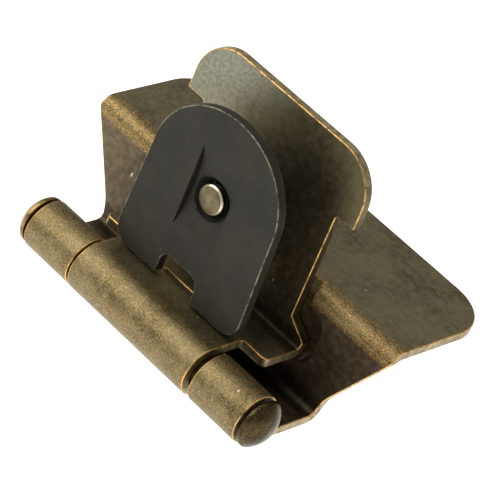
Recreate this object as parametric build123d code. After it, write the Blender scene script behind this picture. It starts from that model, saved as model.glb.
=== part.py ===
from build123d import *
import os
from math import asin, degrees, radians, sqrt, tan

# Demountable cabinet hinge, closed, in millimetres.
# X runs along the pin, Y from the pin towards the back of the frame plate, Z up.
# The pieces are drawn about the middle of the pin. They are then moved together, so
# that the origin is the middle of the frame plate's underside, where the hinge seats.
# Each leaf is one folded steel sheet.

# Pin and barrel
pin_radius = 2.38
frame_fit = 0.02
door_fit = 0.06
barrel_length = 41.8
centre_knuckle_length = 22.9
knuckle_gap = 0.75
side_play = 0.4
curl_gap = 0.3
pin_head_radius = 3.6
pin_head_gap = 0.5
pin_head_rim = 0.55
pin_head_crown = 1.7
pin_head_clearance = 0.25

# Frame leaf: outer knuckles, web, wall with its pressed pocket, crest and frame plate
frame_sheet = 1.35
wall_front = 12.0
plate_top = 13.2
plate_half_width = 28.575
plate_far_edge = 32.7
plate_corner_radius = 7.0
crest_radius = 2.0
foot_radius = 2.3
leg_half_width = 21.5
leg_shoulder = 11.6
leg_foot = -0.5
leg_blend = 8.0
leg_shoulder_blend = 0.8
lug_clearance = 1.1
lug_corner = 0.6
pocket_fit = 0.2
pocket_clearance = 1.5
pocket_shoulder_rise = 2.75
pocket_shoulder_radius = 1.8
pocket_neck_radius = 1.0
pocket_shoulder_share = 0.6
pocket_neck_share = 0.35
pocket_foot_radius = 1.8
pocket_draft = 15.0
pocket_lip_radius = 0.6

# Door leaf: centre knuckle, shelf, neck and T-shaped head
door_sheet = 1.35
shelf_front = 5.55
shelf_half_width = 15.87
shelf_corner = 0.9
bend_radius = 0.5
flare_bottom = 4.9
flare_height = 2.1
neck_half_width = 12.75
head_bottom = 23.4
head_height = 9.2
head_corner_radius = 6.2
notch_corner = 0.5
slot_length = 8.4
slot_front = 4.6
slot_width = 1.1

# Grip plate: hardened clamp plate with a lanced bridge
grip_sheet = 1.5
grip_front = 2.75
grip_foot_half_width = 11.95
grip_shoulder_half_width = 11.35
grip_shoulder = 20.5
grip_crown = 10.4
grip_foot_gap = 0.55
grip_foot_radius = 2.6
arch_half_width = 3.4
arch_height = 3.55
arch_radius = 1.6
bridge_half_width = 3.55
bridge_half_length = 6.2
bridge_depth = 1.0
slit_width = 0.12

# Clamp screw
screw_radius = 2.1
screw_height = 18.5
screw_proud = 0.5
screw_chamfer = 0.25
screw_hole_fit = 0.15
thread_fit = 0.08
countersink_radius = 3.0
countersink_depth = 0.85
screw_head_radius = 4.0
screw_head_rim = 0.9
screw_head_crown = 1.5
screw_slot_width = 1.1
screw_slot_depth = 1.2

# Sizes that follow from the ones above
frame_bore = pin_radius + frame_fit
frame_knuckle = frame_bore + frame_sheet
door_bore = pin_radius + door_fit
door_knuckle = door_bore + door_sheet
centre_half = centre_knuckle_length / 2
outer_start = centre_half + knuckle_gap
barrel_half = barrel_length / 2
wall_back = wall_front + frame_sheet
plate_underside = plate_top - frame_sheet
seat_middle = (wall_back + plate_far_edge) / 2
lug_front = door_knuckle + lug_clearance
lug_back = sqrt((pin_head_radius + pin_head_clearance) ** 2 - frame_bore**2)
door_back = wall_front + door_sheet
pocket_floor = door_back + pocket_fit
flare_top = flare_bottom + flare_height
grip_back = grip_front + grip_sheet
grip_bottom = door_knuckle + grip_foot_gap
bridge_front = grip_front + bridge_depth
knuckle_wrap = 3 * 90
beyond = 100.0


def curl_stop(knuckle, bore):
    """Degrees past the pin's mid height at which a rolled end clears its own sheet."""
    return degrees(asin((bore - curl_gap) / knuckle))


def rolled_end(knuckle, bore, start_angle, arc_size):
    """YZ section of a sheet's rolled end, which makes a knuckle."""
    outer = CenterArc((0, 0), knuckle, start_angle, arc_size)
    inner = CenterArc((0, 0), bore, start_angle, arc_size)
    return make_face([outer, inner, Line(outer @ 0, inner @ 0), Line(outer @ 1, inner @ 1)])


def dome(base, radius, height):
    """Arc of a spherical cap that stands on the X axis, from its apex to its rim."""
    ball = (radius**2 + height**2) / (2 * height)
    return CenterArc((base + height - ball, 0), ball, 0, degrees(asin(radius / ball)))


def mirrored(half_points):
    """Closed outline of a shape that is symmetric about X = 0, from its right half."""
    left_half = [(-x, y) for x, y in reversed(half_points)]
    return make_face(Polyline(half_points + left_half, close=True))


def rounded(outline, corners):
    """Round a symmetric outline at its (x, y, radius) corners, on both sides."""
    for x, y, radius in corners:
        for side in (-1, 1):
            corner = outline.vertices().sort_by_distance((side * x, y, 0))[0]
            outline = fillet(corner, radius)
    return outline


def along_x(section, half_length):
    """A section drawn as (Y, Z), as a solid from -half_length to half_length."""
    return extrude(Plane.YZ * section, amount=half_length, both=True)


def prism_y(outline, y0, y1):
    """An outline drawn as (X, Z), as a solid from y0 to y1."""
    return extrude(Plane.XZ.offset(-y0) * outline, amount=y0 - y1)


def prism_z(outline, z0, z1):
    """An outline drawn as (X, Y), as a solid from z0 to z1."""
    return extrude(Pos(0, 0, z0) * outline, amount=z1 - z0)


def at_screw(turned):
    """A shape turned about the X axis, set on the screw's axis with +X towards the back."""
    return Pos(0, 0, screw_height) * Rot(0, 0, 90) * turned


def frame_section():
    """YZ section of the frame leaf's web, wall and plate, thickened from its outer face."""
    run = FilletPolyline(
        (0, -frame_knuckle),
        (wall_back, -frame_knuckle),
        (wall_back, plate_underside),
        (beyond, plate_underside),
        radius=[foot_radius, crest_radius - frame_sheet],
    )
    return make_face(offset(run, frame_sheet, side=Side.LEFT, closed=True))


def frame_front_outline():
    """The frame leaf seen from the front: legs that spread towards the plate."""
    side = FilletPolyline(
        (leg_half_width, -beyond),
        (leg_half_width, leg_foot),
        (plate_half_width, leg_shoulder),
        (plate_half_width, beyond),
        radius=[leg_blend, leg_shoulder_blend],
    )
    top = Line((plate_half_width, beyond), (-plate_half_width, beyond))
    bottom = Line((-leg_half_width, -beyond), (leg_half_width, -beyond))
    return make_face([side, top, mirror(side, Plane.YZ), bottom])


def frame_plan_outline():
    """The frame leaf seen from above: lugs for the outer knuckles, web, then the plate."""
    outline = mirrored(
        [
            (outer_start, lug_front),
            (outer_start, 0),
            (barrel_half, 0),
            (barrel_half, lug_back),
            (plate_half_width, lug_back),
            (plate_half_width, plate_far_edge),
        ]
    )
    corners = [
        (plate_half_width, plate_far_edge, plate_corner_radius),
        (barrel_half, lug_back, lug_corner),
        (outer_start, lug_front, lug_corner),
    ]
    return rounded(outline, corners)


def pocket_outline(growth):
    """T-shaped outline of the pocket that the closed door leaf nests in, grown all round."""
    neck = neck_half_width + pocket_clearance + growth
    shelf = shelf_half_width + pocket_clearance + growth
    foot = door_bore - pocket_fit - growth
    shoulder = flare_top + pocket_shoulder_rise + growth
    outline = mirrored([(shelf, foot), (shelf, shoulder), (neck, shoulder), (neck, beyond)])
    ledge = shelf - neck
    corners = [
        (shelf, foot, pocket_foot_radius),
        (shelf, shoulder, min(pocket_shoulder_radius, pocket_shoulder_share * ledge)),
        (neck, shoulder, min(pocket_neck_radius, pocket_neck_share * ledge)),
    ]
    return rounded(outline, corners)


def boss_outline(growth):
    """Outline of the boss that the pocket raises behind the wall, straight up to the plate."""
    shelf = shelf_half_width + pocket_clearance + growth
    foot = door_bore - pocket_fit - growth
    outline = mirrored([(shelf, foot), (shelf, plate_underside + frame_sheet / 2)])
    return rounded(outline, [(shelf, foot, pocket_foot_radius)])


def pocket_section(growth):
    """YZ section of the pocket: the door leaf's fold from outside, then a rounded lip."""
    depth = pocket_floor + growth
    foot = door_bore - pocket_fit - growth
    fold = bend_radius + door_sheet + pocket_fit + growth
    run = FilletPolyline(
        (-beyond, foot),
        (depth, foot),
        (depth, plate_top),
        (beyond, plate_top),
        radius=[fold, pocket_lip_radius],
    )
    return make_face([run, Polyline(run @ 1, (beyond, beyond), (-beyond, beyond), run @ 0)])


def pressed_form(outline, growth, front):
    """What the die presses, from the plane Y = front: it narrows by its draft to the back."""
    back = pocket_floor + growth + pocket_lip_radius
    outlines = []
    for y in (front, back):
        narrowing = (y - wall_front - growth) * tan(radians(pocket_draft))
        outlines.append(Plane.XZ.offset(-y) * outline(growth - narrowing))
    return loft(outlines, ruled=True) & along_x(pocket_section(growth), beyond)


def frame_leaf():
    """Outer knuckles, web, wall with its pocket, and frame plate in one sheet."""
    leaf = along_x(frame_section(), beyond)
    leaf &= prism_y(frame_front_outline(), -beyond, beyond)
    leaf &= prism_z(frame_plan_outline(), -beyond, beyond)
    leaf += pressed_form(boss_outline, frame_sheet, wall_front + frame_sheet / 2)
    leaf -= pressed_form(pocket_outline, 0, wall_front - frame_sheet)
    stop = curl_stop(frame_knuckle, frame_bore)
    roll = rolled_end(frame_knuckle, frame_bore, -stop, knuckle_wrap + stop)
    knuckle = extrude(Plane.YZ.offset(outer_start) * roll, amount=barrel_half - outer_start)
    return leaf + knuckle + mirror(knuckle, Plane.YZ)


def door_section():
    """YZ section of the door leaf's shelf and upright, thickened from its front face."""
    run = FilletPolyline(
        (0, door_knuckle),
        (wall_front, door_knuckle),
        (wall_front, beyond),
        radius=bend_radius,
    )
    return make_face(offset(run, door_sheet, side=Side.RIGHT, closed=True))


def door_front_outline():
    """The door leaf seen from the front: shelf, flare, neck and T-shaped head."""
    head_top = head_bottom + head_height
    outline = mirrored(
        [
            (shelf_half_width, -beyond),
            (shelf_half_width, flare_bottom),
            (neck_half_width, flare_top),
            (neck_half_width, head_bottom),
            (shelf_half_width, head_bottom),
            (shelf_half_width, head_top),
        ]
    )
    corners = [
        (shelf_half_width, head_top, head_corner_radius),
        (neck_half_width, head_bottom, notch_corner),
        (neck_half_width, flare_top, notch_corner),
        (shelf_half_width, flare_bottom, notch_corner),
    ]
    return rounded(outline, corners)


def door_plan_outline():
    """The door leaf seen from above: the centre knuckle's strip, then the wider shelf."""
    outline = mirrored(
        [
            (centre_half, 0),
            (centre_half, shelf_front),
            (shelf_half_width, shelf_front),
            (shelf_half_width, beyond),
        ]
    )
    corners = [(shelf_half_width, shelf_front, shelf_corner), (centre_half, shelf_front, notch_corner)]
    return rounded(outline, corners)


def door_leaf():
    """Centre knuckle, shelf, neck and head in one sheet."""
    leaf = along_x(door_section(), beyond)
    leaf &= prism_y(door_front_outline(), -beyond, beyond)
    leaf &= prism_z(door_plan_outline(), -beyond, beyond)
    stop = curl_stop(door_knuckle, door_bore)
    roll = rolled_end(door_knuckle, door_bore, stop, -knuckle_wrap - stop)
    leaf += along_x(roll, centre_half)
    slot = Pos(0, slot_front + slot_width / 2) * SlotOverall(slot_length, slot_width)
    leaf -= prism_z(slot, 0, door_knuckle)
    hole = Pos(0, screw_height) * Circle(screw_radius + screw_hole_fit)
    return leaf - prism_y(hole, wall_front, door_back)


def hinge_pin():
    """One rod with a domed head at each end."""
    rim_inner = barrel_half + pin_head_gap
    rim_outer = rim_inner + pin_head_rim
    cap = dome(rim_outer, pin_head_radius, pin_head_crown)
    other_cap = mirror(cap, Plane.YZ)
    body = Polyline(
        cap @ 1,
        (rim_inner, pin_head_radius),
        (rim_inner, pin_radius),
        (-rim_inner, pin_radius),
        (-rim_inner, pin_head_radius),
        other_cap @ 1,
    )
    return revolve(make_face([cap, body, other_cap, Line(other_cap @ 0, cap @ 0)]), Axis.X)


def bridge_section():
    """YZ section of the bridge: a shallow bow pressed towards the door leaf."""
    low = screw_height - bridge_half_length
    high = screw_height + bridge_half_length
    front = ThreePointArc((grip_front, low), (bridge_front, screw_height), (grip_front, high))
    back = Pos(grip_sheet, 0) * front
    return make_face([front, back, Line(front @ 0, back @ 0), Line(front @ 1, back @ 1)])


def grip_outline():
    """Outline of the grip plate: near-straight sides, round crown and a notched foot."""
    outline = mirrored([(grip_foot_half_width, grip_bottom), (grip_shoulder_half_width, grip_shoulder)])
    outline = rounded(outline, [(grip_foot_half_width, grip_bottom, grip_foot_radius)])
    outline += Pos(0, grip_shoulder) * Ellipse(grip_shoulder_half_width, grip_crown)
    return outline - Pos(0, grip_bottom) * RectangleRounded(2 * arch_half_width, 2 * arch_height, arch_radius)


def bridge_hole():
    """Cutter for the bridge's thread, countersunk from the front."""
    bore = screw_radius + thread_fit
    behind = bridge_front + 2 * grip_sheet
    outline = Polyline(
        (grip_front, 0),
        (grip_front, countersink_radius),
        (bridge_front, countersink_radius),
        (bridge_front + countersink_depth, bore),
        (behind, bore),
        (behind, 0),
        close=True,
    )
    return at_screw(revolve(make_face(outline), Axis.X))


def grip_plate():
    """Clamp plate whose middle is lanced back as a bridge that the screw threads into."""
    plate = prism_y(grip_outline(), grip_front, grip_back)
    window_width = 2 * (bridge_half_width + slit_width)
    window = Pos(0, screw_height) * Rectangle(window_width, 2 * bridge_half_length)
    plate -= prism_y(window, grip_front, grip_back)
    plate += along_x(bridge_section(), bridge_half_width)
    return plate - bridge_hole()


def clamp_screw():
    """Slotted pan-head screw from behind the door leaf, its end just proud of the bridge."""
    end = bridge_front - screw_proud
    cap = dome(door_back + screw_head_rim, screw_head_radius, screw_head_crown)
    body = Polyline(
        cap @ 1,
        (door_back, screw_head_radius),
        (door_back, screw_radius),
        (end + screw_chamfer, screw_radius),
        (end, screw_radius - screw_chamfer),
        (end, 0),
        cap @ 0,
    )
    crown = door_back + screw_head_rim + screw_head_crown
    slot = Pos(crown, 0, 0) * Box(2 * screw_slot_depth, 2 * screw_head_radius, screw_slot_width)
    return at_screw(revolve(make_face([cap, body]), Axis.X) - slot)


def main():
    """Write one STEP file for each piece, with the door's pieces slid along the pin."""
    on_frame = ("frame_leaf", "hinge_pin")
    pieces = {
        "frame_leaf": frame_leaf(),
        "door_leaf": door_leaf(),
        "hinge_pin": hinge_pin(),
        "grip_plate": grip_plate(),
        "clamp_screw": clamp_screw(),
    }
    os.makedirs("parts", exist_ok=True)
    for name, piece in pieces.items():
        along_pin = 0 if name in on_frame else -side_play
        to_seat = Pos(along_pin, -seat_middle, -plate_underside)
        export_step(to_seat * piece, f"parts/{name}.step")


main()
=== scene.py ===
"""The demountable hinge as photographed: finishes, tumbled edges and the screw's thread over the
CAD nodes, with the photograph's camera and light."""

import math

import bmesh
import bpy
from mathutils import Matrix, Vector


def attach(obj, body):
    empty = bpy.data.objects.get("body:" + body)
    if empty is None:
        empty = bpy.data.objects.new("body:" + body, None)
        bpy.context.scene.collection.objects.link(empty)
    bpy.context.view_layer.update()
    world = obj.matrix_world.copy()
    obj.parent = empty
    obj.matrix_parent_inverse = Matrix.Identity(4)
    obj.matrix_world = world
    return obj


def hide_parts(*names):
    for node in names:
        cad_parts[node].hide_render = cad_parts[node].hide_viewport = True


MM = 0.001

# The photograph's camera, in the hinge's own frame
CAMERA_AT = Vector((183.06, -295.12, 210.38)) * MM
CAMERA_AZIMUTH = math.radians(32.434)
CAMERA_ELEVATION = math.radians(32.185)
CAMERA_ROLL = math.radians(23.39)
CAMERA_LENS = 220.53
SENSOR_WIDTH = 36.0

# Where the finishes are placed, in millimetres: lines along X by their (Y, Z), then planes
PIN_AXIS = (-23.025, -11.85)
BARREL_RADIUS = 3.77
CREST_AXIS = (-9.025, -0.65)
CREST_RADIUS = 2.0
DOOR_FOLD = (-11.525, -7.56)
WALL_FOOT = (-11.025, -14.0)
WALL_FRONT_Y = -11.025
WALL_BACK_Y = -9.675
BOSS_DEPTH = 2.0
PLATE_MIDDLE_Y = 0.325
HEAD_MIDDLE_Z = 16.0
# The place about which the painted shade near the grip plate lies on the door leaf, in X and Z
SHADE_CORNER_X = 5.0
SHADE_CORNER_Z = 8.15
POCKET_HALF_WIDTH = 19.5

# The clamp screw's shank and thread, in millimetres
SCREW_AXIS = (-0.4, 6.65)
SCREW_END_Y = -19.775
SCREW_HEAD_Y = -9.675
BRIDGE_BACK_Y = -17.775
BRIDGE_HALF_WIDTH = 3.9
BRIDGE_HALF_LENGTH = 6.5
SHANK_RADIUS = 2.1
THREAD_CREST = 2.08
THREAD_ROOT = 1.68
THREAD_CHAMFER = 0.24
THREAD_IN_HEAD = 0.2
THREAD_SIZES = {
    "Pitch": 25.4 / 32,
    "Crest": THREAD_CREST,
    "Root": THREAD_ROOT,
    "End Radius": THREAD_CREST - THREAD_CHAMFER,
    "Chamfer": THREAD_CHAMFER,
    "Run Out": THREAD_CHAMFER + THREAD_CREST - THREAD_ROOT,
    "Start": SCREW_END_Y,
    "Length": SCREW_HEAD_Y - SCREW_END_Y + THREAD_IN_HEAD,
    "Middle X": SCREW_AXIS[0],
    "Middle Z": SCREW_AXIS[1],
}

# The share of a pitch that a flank rises over, and how finely the thread is drawn
THREAD_FLANK = 0.5 / 1.2
THREAD_ROWS = 170
THREAD_COLUMNS = 64

# Widths of the rounded strip along sharp edges, in millimetres
LEAF_EDGE = 0.15
PIN_EDGE = 0.1
GRIP_EDGE = 0.13
SCREW_EDGE = 0.1

# How near vertices join, and the room given when places are compared, in millimetres
JOIN_REACH = 0.0005
COORDINATE_ROOM = 0.1

# What counts as flat, as a sharp edge to tumble and as a crease in the shading
FLAT_ANGLE = math.radians(0.4)
SHARP_ANGLE = math.radians(32)
CREASE_ANGLE = math.radians(38)

# How far a cut edge's normal leans along X, or out at the end of its sheet
LEAST_SIDEWAYS = 0.35
LEAST_OUTWARD = 0.5

# The stage, in metres, and how bright its floor and its surround are
FLOOR_HALF = 3.0
FLOOR_LEVEL = -0.09
FLOOR_GLOW = 0.75
ROOM_GLOW = 0.42

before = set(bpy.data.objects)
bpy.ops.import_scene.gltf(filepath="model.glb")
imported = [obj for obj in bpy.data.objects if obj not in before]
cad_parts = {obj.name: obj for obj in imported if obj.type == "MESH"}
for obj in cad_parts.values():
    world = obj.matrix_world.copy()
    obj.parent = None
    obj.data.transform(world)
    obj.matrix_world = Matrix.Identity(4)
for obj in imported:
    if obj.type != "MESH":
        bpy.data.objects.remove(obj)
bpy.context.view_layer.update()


def linear(hex_colour):
    """Linear RGBA of an sRGB hex colour."""
    channels = [int(hex_colour[i : i + 2], 16) / 255 for i in (1, 3, 5)]
    return [c / 12.92 if c <= 0.04045 else ((c + 0.055) / 1.055) ** 2.4 for c in channels] + [1.0]


def add_node(tree, kind, *inputs, **settings):
    """Add a node and give its first output. The inputs are in order, each a socket to link, a
    number or a hex colour. The settings are its properties, and other inputs by name."""
    node = tree.nodes.new(kind)
    named = {}
    for name, value in settings.items():
        if hasattr(node, name):
            setattr(node, name, value)
        else:
            named[name.replace("_", " ")] = value
    shown = [socket for socket in node.inputs if socket.enabled]
    filled = [*zip(shown, inputs), *((node.inputs[name], value) for name, value in named.items())]
    for socket, value in filled:
        if isinstance(value, bpy.types.NodeSocket):
            tree.links.new(value, socket)
        else:
            socket.default_value = linear(value) if isinstance(value, str) else value
    outputs = [socket for socket in node.outputs if socket.enabled]
    return outputs[0] if outputs else None


class Finish:
    """A procedural material that is built up in layers over object coordinates in millimetres.
    A mask is 0 to 1, and the places and distances where it starts and ends are millimetres too."""

    def __init__(self, name):
        self.material = bpy.data.materials.new(name)
        self.material.use_nodes = True
        self.tree = self.material.node_tree
        self.tree.nodes.clear()
        place = self.add("ShaderNodeTexCoord").node.outputs["Object"]
        self.place = self.add("ShaderNodeMapping", place, Scale=(1 / MM, 1 / MM, 1 / MM))
        axes = self.add("ShaderNodeSeparateXYZ", self.place).node.outputs
        self.x, self.y, self.z = axes["X"], axes["Y"], axes["Z"]

    def add(self, kind, *inputs, **settings):
        """Add a node to this material."""
        return add_node(self.tree, kind, *inputs, **settings)

    def patches(self, size, detail=3.0, rough=0.6, warp=0.0, shift=0.0):
        """Soft cloudy patches about size millimetres across."""
        place = self.add("ShaderNodeMapping", self.place, Location=(shift, shift, shift))
        settings = {"Scale": 1 / size, "Detail": detail, "Roughness": rough, "Distortion": warp}
        return self.add("ShaderNodeTexNoise", place, **settings)

    def specks(self, spacing, radius, shift=0.0, stretch=(1, 1, 1)):
        """Round specks of about radius millimetres, one to each cell of the given spacing."""
        place = self.add("ShaderNodeMapping", self.place, Scale=stretch, Location=(shift, shift, shift))
        reach = self.add("ShaderNodeTexVoronoi", place, Scale=1 / spacing)
        return self.add("ShaderNodeMapRange", reach, radius / spacing, 0.5 * radius / spacing, 0.0, 1.0)

    def nicks(self, spacing, radius):
        """Sparse short pale nicks where the finish was knocked."""
        cells = self.specks(spacing, radius, shift=41, stretch=(1.0, 0.55, 0.35))
        where = self.patches(2.6, detail=1, shift=71)
        kept = self.add("ShaderNodeMapRange", where, 0.56, 0.6, 0.0, 1.0)
        return self.overlap(cells, kept)

    def layer(self, under, over, pattern, low, high, most=1.0):
        """Lay a colour over another where the pattern goes from low to high, up to most."""
        soft = {"interpolation_type": "SMOOTHSTEP"}
        mask = self.add("ShaderNodeMapRange", pattern, low, high, 0.0, most, **soft)
        return self.add("ShaderNodeMix", mask, under, over, data_type="RGBA")

    def overlap(self, first, *others):
        """A mask of where all of these masks lie over each other."""
        for other in others:
            first = self.add("ShaderNodeMath", first, other, operation="MULTIPLY")
        return first

    def distance(self, line, along="X"):
        """Millimetres from a line along X, given by its (Y, Z), or along Y, by its (X, Z)."""
        if along == "X":
            scale, shift = (0, 1, 1), (0, -line[0], -line[1])
        else:
            scale, shift = (1, 0, 1), (-line[0], 0, -line[1])
        away = self.add("ShaderNodeMapping", self.place, Scale=scale, Location=shift)
        return self.add("ShaderNodeVectorMath", away, operation="LENGTH").node.outputs["Value"]

    def on_round(self, line, radius, most, reach=0.12):
        """A mask of a cylinder's skin about a line along X: most on it, and 0 beyond reach."""
        away = self.distance(line)
        outside = self.add("ShaderNodeMapRange", away, radius + reach, radius + reach / 2, 0.0, most)
        inside = self.add("ShaderNodeMapRange", away, radius - 2 * reach, radius - reach, 0.0, 1.0)
        return self.overlap(outside, inside)

    def close(self, colour, grain, smooth, rough, metallic, relief, gloss=0.5):
        """Join the layers in one shader, with its roughness and bump from the grain. smooth and
        rough are the ends of its roughness, and relief is the bump's height in millimetres."""
        roughness = self.add("ShaderNodeMapRange", grain, 0.3, 0.8, smooth, rough)
        bump = self.add("ShaderNodeBump", Height=grain, Strength=1.0, Distance=relief * MM)
        settings = {"Base Color": colour, "Roughness": roughness, "Normal": bump, "Metallic": metallic}
        self.shader = self.add("ShaderNodeBsdfPrincipled", **settings).node
        self.shader.inputs["Specular IOR Level"].default_value = gloss
        self.add("ShaderNodeOutputMaterial", self.shader.outputs["BSDF"])
        return self.material


def antique_brass(finish, rubbed, shade_and_oxide, painted_reflection=None):
    """Cold-rolled sheet, brass plated, oxide browned and tumbled: the eye sees olive-brown metal
    with a fine grain and soft wide reflections. Tumbling rubbed it to golden specks on the
    rounds and left oxide brown in the hollows, and the hollows are darkened further as painted
    shade. The open flats can take a painted grey reflection. The three masks after finish say
    where the gold, the painted shade with oxide and the painted reflection lie."""
    cloud = finish.patches(8.0, warp=0.4)
    mottle = finish.patches(1.1, detail=4, shift=13)
    speckle = finish.patches(0.5, detail=3, shift=47)
    grain = finish.patches(0.2, shift=29)
    colour = finish.layer("#4c432d", "#756c4e", cloud, 0.3, 0.65)
    colour = finish.layer(colour, "#857c5d", mottle, 0.35, 0.7, 0.65)
    colour = finish.layer(colour, "#a0936a", grain, 0.45, 0.75, 0.5)
    colour = finish.layer(colour, "#3d3522", grain, 0.5, 0.25, 0.5)

    # Painted reflection: where its mask says, the flat is made grey, as the bright floor would look in
    # it.
    if painted_reflection:
        grey = finish.layer("#696959", "#8b8a78", speckle, 0.3, 0.7)
        grey = finish.layer(grey, "#abaa98", grain, 0.5, 0.75, 0.5)
        colour = finish.layer(colour, grey, painted_reflection, 0.0, 1.0)

    # Painted shade with the oxide: where its mask says, the colour goes brown, and near black deepest
    # in.
    brown = finish.layer("#41372a", "#5f513f", mottle, 0.35, 0.7)
    brown = finish.layer(brown, "#6d5b42", grain, 0.5, 0.75, 0.4)
    colour = finish.layer(colour, brown, shade_and_oxide, 0.0, 0.9)
    colour = finish.layer(colour, "#1d1610", shade_and_oxide, 0.85, 1.0, 0.5)

    gold = finish.layer("#584424", "#d09f55", grain, 0.42, 0.62)
    kept = finish.add("ShaderNodeMapRange", speckle, 0.35, 0.6, 0.4, 0.95)
    colour = finish.layer(colour, gold, finish.overlap(rubbed, kept), 0.0, 1.0)
    colour = finish.layer(colour, "#cfc8b2", finish.nicks(1.9, 0.16), 0.0, 1.0)
    return finish.close(colour, grain, smooth=0.4, rough=0.54, metallic=0.9, relief=0.022)


def frame_sheet_finish():
    """Antique brass on the frame leaf: golden crest and knuckles, and a brown wall and web, where
    the oxide is darkened further as painted shade, most towards the right and in the foot's fold.
    """
    finish = Finish("antique_brass_frame_sheet")
    barrel = finish.on_round(PIN_AXIS, BARREL_RADIUS, 0.42)
    crest = finish.on_round(CREST_AXIS, CREST_RADIUS, 0.6)
    rubbed = finish.add("ShaderNodeMath", barrel, crest, operation="MAXIMUM")
    below = finish.add("ShaderNodeMapRange", finish.z, -0.4, -1.2, 0.0, 1.0)
    behind, boss = WALL_BACK_Y + BOSS_DEPTH + 0.4, WALL_BACK_Y + BOSS_DEPTH
    ahead = finish.add("ShaderNodeMapRange", finish.y, behind, boss, 0.0, 1.0)
    beside = finish.add("ShaderNodeMapRange", finish.distance(PIN_AXIS), 3.9, 4.6, 0.0, 1.0)
    # Painted shade: the wall is made darker towards the right and in the fold at its foot.
    rightward = finish.add("ShaderNodeMapRange", finish.x, -24.0, -16.0, 0.55, 0.8)
    foot = finish.add("ShaderNodeMapRange", finish.distance(WALL_FOOT), 3.4, 2.0, 0.0, 1.0)
    wall = finish.overlap(below, rightward)
    shade_and_oxide = finish.add("ShaderNodeMath", wall, foot, operation="MAXIMUM")
    return antique_brass(finish, rubbed, finish.overlap(shade_and_oxide, ahead, beside))


def door_sheet_finish():
    """Antique brass on the door leaf: a golden knuckle, a painted grey reflection on the head,
    and painted shade, browned over the oxide, near the grip plate and in the fold."""
    finish = Finish("antique_brass_door_sheet")
    rubbed = finish.on_round(PIN_AXIS, BARREL_RADIUS, 0.42)
    # Painted reflection: the head is made grey up and to the left, along a ragged slant.
    slant = finish.add("ShaderNodeMath", finish.z, finish.x, operation="SUBTRACT")
    cloud = finish.add("ShaderNodeMapRange", finish.patches(5.0, shift=57), 0.3, 0.7, 0.0, 6.0)
    ragged = finish.add("ShaderNodeMath", slant, cloud, operation="ADD")
    painted_reflection = finish.add("ShaderNodeMapRange", ragged, 17.0, 33.0, 0.0, 0.85)
    # Painted shade: the plate is made brown near the grip plate, and in the fold.
    above = finish.add("ShaderNodeMath", finish.z, SHADE_CORNER_Z, operation="SUBTRACT")
    above = finish.add("ShaderNodeMath", above, 0.0, operation="MAXIMUM")
    aside = finish.add("ShaderNodeMath", finish.x, SHADE_CORNER_X, operation="SUBTRACT")
    away = finish.add("ShaderNodeCombineXYZ", aside, above, 0.0)
    away = finish.add("ShaderNodeVectorMath", away, operation="LENGTH").node.outputs["Value"]
    shaded = finish.add("ShaderNodeMapRange", away, 12.5, 7.0, 0.0, 0.6)
    fold = finish.add("ShaderNodeMapRange", finish.distance(DOOR_FOLD), 2.8, 1.2, 0.0, 0.92)
    back, inside = WALL_BACK_Y - 0.2, WALL_BACK_Y - 0.5
    ahead = finish.add("ShaderNodeMapRange", finish.y, back, inside, 0.0, 1.0)
    beyond = finish.add("ShaderNodeMapRange", finish.distance(PIN_AXIS), 6.0, 9.0, 0.0, 1.0)
    shade_and_oxide = finish.add("ShaderNodeMath", shaded, fold, operation="MAXIMUM")
    return antique_brass(finish, rubbed, finish.overlap(shade_and_oxide, ahead, beyond), painted_reflection)


def burnished_pin_head():
    """The same plating on the pin's upset heads, burnished smooth: a dark brown brass with
    clearer reflections than the sheet's, and painted paler on the left head as painted light."""
    finish = Finish("antique_brass_burnished")
    mottle = finish.patches(1.6, detail=4, shift=21)
    grain = finish.patches(0.2, shift=33)
    colour = finish.layer("#2f2616", "#4d4129", mottle, 0.35, 0.65)
    # Painted light: the left head is made paler, as if lit from its side.
    paler = finish.layer("#665534", "#94794b", mottle, 0.35, 0.6)
    colour = finish.layer(colour, paler, finish.x, -20.0, -21.5)
    colour = finish.layer(colour, "#9c8354", grain, 0.5, 0.7, 0.4)
    colour = finish.layer(colour, "#d8d0bb", finish.nicks(1.9, 0.14), 0.0, 1.0)
    return finish.close(colour, grain, smooth=0.26, rough=0.38, metallic=0.95, relief=0.005)


def worn_gold_edge(name, pocket_rim_shade):
    """Sheet edges where tumbling cut through the brown to the plating: thin golden lines, broken
    by what oxide is left. On the frame leaf the pocket's rim is painted brown, as painted shade."""
    finish = Finish(name)
    left = finish.patches(1.1, detail=5, rough=0.75, shift=3)
    grain = finish.patches(0.2, detail=2)
    colour = finish.layer("#e4b468", "#6a5230", left, 0.48, 0.64)
    colour = finish.layer(colour, "#a8854c", grain, 0.45, 0.6, 0.6)
    if pocket_rim_shade:
        # Painted shade: the edges round the pocket, under the door leaf, are made brown.
        below = finish.add("ShaderNodeMapRange", finish.z, -0.5, -1.5, 0.0, 1.0)
        beside = finish.add("ShaderNodeMapRange", finish.distance(PIN_AXIS), 4.2, 4.8, 0.0, 1.0)
        across = finish.add("ShaderNodeMath", finish.x, operation="ABSOLUTE")
        rim, outside = POCKET_HALF_WIDTH, POCKET_HALF_WIDTH + 0.5
        pocket = finish.add("ShaderNodeMapRange", across, outside, rim, 0.0, 1.0)
        colour = finish.layer(colour, "#3f3124", finish.overlap(below, beside, pocket), 0.0, 1.0)
    return finish.close(colour, grain, smooth=0.3, rough=0.45, metallic=0.85, relief=0.01)


def sheared_edge():
    """The sheet's cut edge, plated and tumbled: a paler band with golden specks."""
    finish = Finish("antique_brass_sheared_edge")
    mottle = finish.patches(0.8, detail=4, shift=19)
    grain = finish.patches(0.2, shift=23)
    colour = finish.layer("#7b7054", "#ada07e", mottle, 0.35, 0.65)
    colour = finish.layer(colour, "#dcb878", grain, 0.5, 0.7, 0.6)
    return finish.close(colour, grain, smooth=0.4, rough=0.52, metallic=0.9, relief=0.012)


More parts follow.
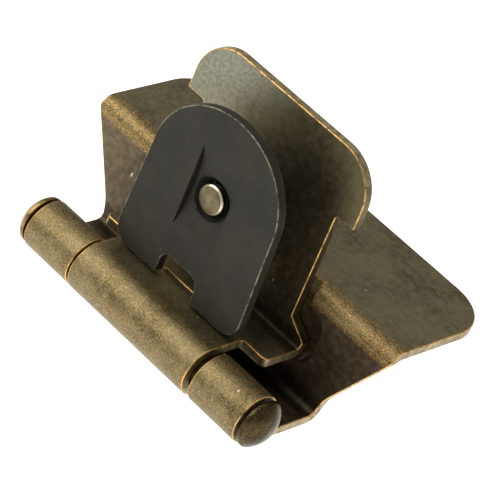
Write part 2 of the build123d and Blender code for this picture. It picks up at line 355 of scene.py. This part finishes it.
def black_spring_steel():
    """Hardened spring steel, oil blackened: matte near-black with a faint warm bloom, fine
    tumbling marks and specks of dust. The black is painted deeper about the screw, as painted shade."""
    finish = Finish("oil_blackened_spring_steel")
    cloud = finish.patches(6.0, warp=0.3, shift=17)
    grain = finish.patches(0.2, shift=7)
    colour = finish.layer("#221f17", "#2d2a20", cloud, 0.3, 0.7)
    colour = finish.layer(colour, "#3e3a2e", grain, 0.45, 0.75, 0.45)
    colour = finish.layer(colour, "#77736a", finish.specks(1.1, 0.07, shift=63), 0.0, 1.0, 0.5)
    colour = finish.layer(colour, "#8d887c", finish.nicks(2.2, 0.12), 0.0, 1.0, 0.6)
    # Painted shade: the black is made deeper in a ring about the screw.
    colour = finish.layer(colour, "#0b0a08", finish.distance(SCREW_AXIS, along="Y"), 3.6, 2.7, 0.85)
    matte = {"smooth": 0.54, "rough": 0.68, "metallic": 0.0, "gloss": 0.22}
    return finish.close(colour, grain, relief=0.008, **matte)


def bare_black_edge():
    """Edges of the blackened plate, tumbled back towards bare steel: dull beige lines."""
    finish = Finish("blackened_steel_worn_edge")
    left = finish.patches(1.6, detail=5, rough=0.75, shift=9)
    colour = finish.layer("#8a8069", "#38352d", left, 0.42, 0.6)
    grain = finish.patches(0.2, detail=2)
    return finish.close(colour, grain, smooth=0.4, rough=0.55, metallic=0.5, relief=0.01)


def flashed_screw_steel():
    """Machine screw steel with a thin brass flash: a soft pale warm metal, painted dark as
    painted shade where the thread runs in the bridge."""
    finish = Finish("brass_flashed_screw_steel")
    cloud = finish.patches(1.1, shift=2)
    grain = finish.patches(0.15, detail=2)
    colour = finish.layer("#61573f", "#7a6e54", cloud, 0.3, 0.7)
    colour = finish.layer(colour, "#5d5341", grain, 0.5, 0.7, 0.4)
    # Painted shade: the thread is made dark where it runs in the bridge.
    shade_ramp_start, shade_ramp_end = SCREW_END_Y + 0.28, SCREW_END_Y + 0.34
    front = finish.add("ShaderNodeMapRange", finish.y, shade_ramp_start, shade_ramp_end, 0.0, 1.0)
    behind, within = BRIDGE_BACK_Y + 0.1, BRIDGE_BACK_Y - 0.1
    back = finish.add("ShaderNodeMapRange", finish.y, behind, within, 0.0, 1.0)
    colour = finish.layer(colour, "#17130d", finish.overlap(front, back), 0.0, 1.0)
    return finish.close(colour, grain, smooth=0.38, rough=0.5, metallic=0.85, relief=0.006)


def bright_screw_chamfer():
    """The screw's turned chamfer, left bright."""
    finish = Finish("bright_cut_steel")
    grain = finish.patches(0.15, detail=2)
    colour = finish.layer("#eadfc4", "#c2b391", grain, 0.4, 0.7)
    return finish.close(colour, grain, smooth=0.3, rough=0.4, metallic=0.95, relief=0.004)


def pale_floor():
    """White acrylic light table: matte, evenly white, with almost no shadow on it."""
    finish = Finish("matte_white_light_table")
    grain = finish.patches(40.0, detail=1)
    colour = finish.layer("#ffffff", "#fafafa", grain, 0.0, 1.0)
    material = finish.close(colour, grain, smooth=0.9, rough=0.95, metallic=0.0, relief=0.0)
    finish.shader.inputs["Emission Color"].default_value = linear("#ffffff")
    finish.shader.inputs["Emission Strength"].default_value = FLOOR_GLOW
    return material


def clean_copy(node):
    """A CAD node's mesh with its loose triangles joined and its flats made whole."""
    work = bmesh.new()
    work.from_mesh(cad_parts[node].data)
    bmesh.ops.remove_doubles(work, verts=work.verts, dist=JOIN_REACH * MM)
    bmesh.ops.dissolve_limit(work, angle_limit=FLAT_ANGLE, verts=work.verts, edges=work.edges)
    mesh = bpy.data.meshes.new(node)
    work.to_mesh(mesh)
    work.free()
    return mesh


def new_piece(name, mesh, materials):
    """An object of this mesh and these materials, in the scene."""
    mesh.materials.clear()
    for material in materials:
        mesh.materials.append(material)
    piece = bpy.data.objects.new(name, mesh)
    bpy.context.scene.collection.objects.link(piece)
    return piece


def baked(piece):
    """Make the piece's modifiers plain mesh."""
    bpy.context.view_layer.update()
    evaluated = piece.evaluated_get(bpy.context.evaluated_depsgraph_get())
    mesh = bpy.data.meshes.new_from_object(evaluated)
    piece.modifiers.clear()
    piece.data = mesh


def smoothed(piece):
    """Shade the rounds smooth and keep the flats flat."""
    piece.data.shade_smooth()
    piece.data.set_sharp_from_angle(angle=CREASE_ANGLE)
    weighted = piece.modifiers.new("flat_shading", "WEIGHTED_NORMAL")
    weighted.keep_sharp = True
    baked(piece)


def on_sheared_edge(middle, normal):
    """Whether a leaf's face is its sheet's cut edge. The folds run along X, so it looks along X,
    or out at the end of the sheet, but not into the pocket."""
    by_the_wall = WALL_FRONT_Y - COORDINATE_ROOM < middle.y < WALL_BACK_Y + BOSS_DEPTH
    in_pocket = by_the_wall and abs(middle.x) < POCKET_HALF_WIDTH
    across = abs(normal.x) > LEAST_SIDEWAYS and not in_pocket
    far_end = normal.y > LEAST_OUTWARD and middle.y > PLATE_MIDDLE_Y
    head_end = normal.z > LEAST_OUTWARD and middle.z > HEAD_MIDDLE_Z
    return across or far_end or head_end


def by_the_bridge(middle):
    """Whether a point of the grip plate is on the lanced bridge, whose edges stay crisp."""
    beside, above = abs(middle.x - SCREW_AXIS[0]), abs(middle.z - SCREW_AXIS[1])
    return beside < BRIDGE_HALF_WIDTH and above < BRIDGE_HALF_LENGTH


def tumbled(piece, edge_width, kept_crisp=None, cut_edge=None):
    """Round the piece's sharp edges, within its own box. The strip that this makes takes the
    second material, and the faces that are a cut edge take the third."""
    work = bmesh.new()
    work.from_mesh(piece.data)
    weight = work.edges.layers.float.new("bevel_weight_edge")
    for edge in work.edges:
        middle = (edge.verts[0].co + edge.verts[1].co) / 2 / MM
        sharp = edge.calc_face_angle(0.0) > SHARP_ANGLE
        edge[weight] = float(sharp and not (kept_crisp and kept_crisp(middle)))
    for face in work.faces:
        is_cut = cut_edge and cut_edge(face.calc_center_median() / MM, face.normal)
        face.material_index = 2 if is_cut else 0
    work.to_mesh(piece.data)
    work.free()
    bevel = piece.modifiers.new("tumbled_edges", "BEVEL")
    bevel.width = edge_width * MM
    bevel.segments = 3
    bevel.limit_method = "WEIGHT"
    bevel.material = 1
    bevel.use_clamp_overlap = False
    low, high = (Vector(corner) for corner in (piece.bound_box[0], piece.bound_box[6]))
    baked(piece)
    for vertex in piece.data.vertices:
        vertex.co = [min(max(c, least), most) for c, least, most in zip(vertex.co, low, high)]
    smoothed(piece)


def declare(piece, node, body):
    """Put the piece in the CAD node's place, on its body."""
    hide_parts(node)
    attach(piece, body)


def thread_tree(finish, bright):
    """Geometry Nodes that wind a threaded shank along Y from a grid: its rows run along the shank
    and its columns round it, and the first and last rows close its ends."""
    tree = bpy.data.node_groups.new("threaded_shank", "GeometryNodeTree")
    for name in THREAD_SIZES:
        tree.interface.new_socket(name, in_out="INPUT", socket_type="NodeSocketFloat")
    tree.interface.new_socket("Shank", in_out="OUTPUT", socket_type="NodeSocketGeometry")
    size = tree.nodes.new("NodeGroupInput").outputs
    sums = "ShaderNodeMath"

    grid = add_node(tree, "GeometryNodeMeshGrid", 1.0, 1.0, THREAD_ROWS, THREAD_COLUMNS + 1)
    at = add_node(tree, "GeometryNodeInputPosition")
    spot = add_node(tree, "ShaderNodeSeparateXYZ", at).node.outputs
    end_row = 0.5 - 1 / (THREAD_ROWS - 1)
    along = add_node(tree, "ShaderNodeMapRange", spot["X"], -end_row, end_row, 0.0, size["Length"])
    turns = add_node(tree, sums, spot["Y"], 0.5, operation="ADD")
    angle = add_node(tree, sums, turns, 2 * math.pi, operation="MULTIPLY")

    # The ridge moves on one pitch for each turn, clockwise from the end: a right-hand thread
    lead = add_node(tree, sums, along, size["Pitch"], operation="DIVIDE")
    lead = add_node(tree, sums, lead, turns, operation="SUBTRACT")
    rise = add_node(tree, sums, lead, 0.5, operation="PINGPONG")
    ridge = add_node(tree, "ShaderNodeMapRange", rise, 0.0, THREAD_FLANK, size["Root"], size["Crest"])

    # The chamfer cuts the first threads, and behind it the thread gets its depth bit by bit
    collar = (size["Chamfer"], size["Run Out"], size["Crest"], size["Root"])
    collar = add_node(tree, "ShaderNodeMapRange", along, *collar)
    chamfer = (0.0, size["Chamfer"], size["End Radius"], size["Crest"])
    chamfer = add_node(tree, "ShaderNodeMapRange", along, *chamfer)
    wound = add_node(tree, sums, ridge, collar, operation="MAXIMUM")
    wound = add_node(tree, sums, wound, chamfer, operation="MINIMUM")
    from_middle = add_node(tree, sums, spot["X"], operation="ABSOLUTE")
    on_skin = add_node(tree, sums, from_middle, (0.5 + end_row) / 2, operation="LESS_THAN")
    radius = add_node(tree, sums, wound, on_skin, operation="MULTIPLY")

    sine = add_node(tree, sums, angle, operation="SINE")
    cosine = add_node(tree, sums, angle, operation="COSINE")
    x = add_node(tree, sums, radius, sine, size["Middle X"], operation="MULTIPLY_ADD")
    y = add_node(tree, sums, along, size["Start"], operation="ADD")
    z = add_node(tree, sums, radius, cosine, size["Middle Z"], operation="MULTIPLY_ADD")
    place = add_node(tree, "ShaderNodeCombineXYZ", x, y, z)
    shank = add_node(tree, "GeometryNodeSetPosition", grid, Position=place)
    shank = add_node(tree, "GeometryNodeMergeByDistance", shank, Distance=JOIN_REACH * MM)
    shank = add_node(tree, "GeometryNodeRealizeInstances", shank)
    shank = add_node(tree, "GeometryNodeSetMaterial", shank, Material=finish)

    # The chamfer's faces, without the flat end, take the bright material
    at = add_node(tree, "GeometryNodeInputPosition")
    spot = add_node(tree, "ShaderNodeSeparateXYZ", at).node.outputs
    from_end = add_node(tree, sums, spot["Y"], size["Start"], operation="SUBTRACT")
    middle = add_node(tree, sums, size["Chamfer"], 0.5, operation="MULTIPLY")
    reach = add_node(tree, sums, size["Chamfer"], 0.49, operation="MULTIPLY")
    chamfered = add_node(tree, sums, from_end, middle, reach, operation="COMPARE")
    shank = add_node(tree, "GeometryNodeSetMaterial", shank, Selection=chamfered, Material=bright)
    add_node(tree, "NodeGroupOutput", shank)
    return tree


def threaded_shank(finish, bright):
    """The clamp screw's shank with its right-hand thread, as plain mesh."""
    tree = thread_tree(finish, bright)
    piece = new_piece("threaded_shank", bpy.data.meshes.new("threaded_shank"), [finish, bright])
    winding = piece.modifiers.new("thread", "NODES")
    winding.node_group = tree
    for socket in tree.interface.items_tree:
        if socket.name in THREAD_SIZES:
            winding[socket.identifier] = THREAD_SIZES[socket.name] * MM
    baked(piece)
    return piece


def bare_head(piece):
    """Take the plain shank off the clamp screw and close the head where it stood."""
    work = bmesh.new()
    work.from_mesh(piece.data)
    shank = []
    for face in work.faces:
        spots = [corner.co / MM for corner in face.verts]
        reach = max(math.hypot(s.x - SCREW_AXIS[0], s.z - SCREW_AXIS[1]) for s in spots)
        before_head = max(s.y for s in spots) < SCREW_HEAD_Y + COORDINATE_ROOM / 2
        if reach < SHANK_RADIUS + COORDINATE_ROOM and before_head:
            shank.append(face)
    bmesh.ops.delete(work, geom=shank, context="FACES")
    bmesh.ops.holes_fill(work, edges=[edge for edge in work.edges if edge.is_boundary])
    work.to_mesh(piece.data)
    work.free()


def clamp_screw():
    """The CAD head with tumbled edges, joined with the threaded shank."""
    materials = [flashed_screw_steel(), bright_screw_chamfer()]
    head = new_piece("clamp_screw_body", clean_copy("clamp_screw"), materials)
    bare_head(head)
    tumbled(head, SCREW_EDGE)
    shank = threaded_shank(*materials)
    order = [materials.index(material) if material else 0 for material in shank.data.materials]
    for face in shank.data.polygons:
        face.material_index = order[face.material_index]
    work = bmesh.new()
    work.from_mesh(head.data)
    work.from_mesh(shank.data)
    bmesh.ops.recalc_face_normals(work, faces=work.faces)
    work.to_mesh(head.data)
    work.free()
    bpy.data.objects.remove(shank)
    smoothed(head)
    return head


def make_pieces():
    """Dress the five CAD nodes: sheet, edge and cut-edge finishes, with the edges tumbled."""
    cut = sheared_edge()
    frame_gold = worn_gold_edge("antique_brass_worn_frame_edge", pocket_rim_shade=True)
    door_gold = worn_gold_edge("antique_brass_worn_door_edge", pocket_rim_shade=False)
    frame_materials = [frame_sheet_finish(), frame_gold, cut]
    door_materials = [door_sheet_finish(), door_gold, cut]
    frame_leaf = new_piece("frame_leaf_sheet", clean_copy("frame_leaf"), frame_materials)
    door_leaf = new_piece("door_leaf_sheet", clean_copy("door_leaf"), door_materials)
    tumbled(frame_leaf, LEAF_EDGE, cut_edge=on_sheared_edge)
    tumbled(door_leaf, LEAF_EDGE, cut_edge=on_sheared_edge)
    burnished = burnished_pin_head()
    pin = new_piece("hinge_pin_rod", clean_copy("hinge_pin"), [burnished, burnished])
    tumbled(pin, PIN_EDGE)
    grip_materials = [black_spring_steel(), bare_black_edge()]
    grip = new_piece("grip_plate_sheet", clean_copy("grip_plate"), grip_materials)
    tumbled(grip, GRIP_EDGE, kept_crisp=by_the_bridge)
    declare(frame_leaf, "frame_leaf", "frame")
    declare(door_leaf, "door_leaf", "door")
    declare(pin, "hinge_pin", "frame")
    declare(grip, "grip_plate", "grip")
    declare(clamp_screw(), "clamp_screw", "screw")


def soft_light(name, azimuth, elevation, distance, size, power):
    """An area light that looks at the hinge from a bearing, with 0 in front of the pin."""
    data = bpy.data.lights.new(name, "AREA")
    data.shape = "DISK"
    data.size = size
    data.energy = power
    lamp = bpy.data.objects.new(name, data)
    a, e = math.radians(azimuth), math.radians(elevation)
    away = Vector((math.sin(a) * math.cos(e), -math.cos(a) * math.cos(e), math.sin(e)))
    lamp.location = away * distance
    lamp.rotation_euler = away.to_track_quat("Z", "Y").to_euler()
    bpy.context.scene.collection.objects.link(lamp)


def make_stage():
    """Pale floor well under the held hinge, soft lights and a white surround."""
    mesh = bpy.data.meshes.new("floor")
    signs = [(-1, -1), (1, -1), (1, 1), (-1, 1)]
    corners = [(x * FLOOR_HALF, y * FLOOR_HALF, FLOOR_LEVEL) for x, y in signs]
    mesh.from_pydata(corners, [], [(0, 1, 2, 3)])
    new_piece("floor", mesh, [pale_floor()])
    soft_light("key_softbox", azimuth=-52, elevation=36, distance=0.45, size=0.42, power=1.24)
    soft_light("top_softbox", azimuth=-60, elevation=80, distance=0.9, size=0.9, power=2.0)
    make_surround()


def make_surround():
    """A surround that is white to the lens and a darker studio to the metal, whose highlights
    then come from the softboxes and the floor."""
    world = bpy.data.worlds.new("studio_surround")
    world.use_nodes = True
    tree = world.node_tree
    tree.nodes.clear()
    seen = add_node(tree, "ShaderNodeBackground", Color="#ffffff", Strength=1.0)
    room = add_node(tree, "ShaderNodeBackground", Color="#ffffff", Strength=ROOM_GLOW)
    lens = add_node(tree, "ShaderNodeLightPath").node.outputs["Is Camera Ray"]
    add_node(tree, "ShaderNodeOutputWorld", add_node(tree, "ShaderNodeMixShader", lens, room, seen))
    bpy.context.scene.world = world


def make_camera():
    """The photograph's view: a long lens from the front right, rolled clockwise."""
    data = bpy.data.cameras.new("camera")
    data.lens = CAMERA_LENS
    data.sensor_width = SENSOR_WIDTH
    camera = bpy.data.objects.new("camera", data)
    level = math.cos(CAMERA_ELEVATION)
    leftward, onward = math.sin(CAMERA_AZIMUTH) * level, math.cos(CAMERA_AZIMUTH) * level
    forward = Vector((-leftward, onward, -math.sin(CAMERA_ELEVATION)))
    flat_right = forward.cross(Vector((0, 0, 1))).normalized()
    flat_up = flat_right.cross(forward)
    right = flat_right * math.cos(CAMERA_ROLL) + flat_up * math.sin(CAMERA_ROLL)
    up = right.cross(forward)
    turn = Matrix((right, up, -forward)).transposed().to_4x4()
    camera.matrix_world = Matrix.Translation(CAMERA_AT) @ turn
    bpy.context.scene.collection.objects.link(camera)
    bpy.context.scene.camera = camera


make_camera()
make_pieces()
make_stage()
bpy.context.scene.view_settings.view_transform = "Standard"
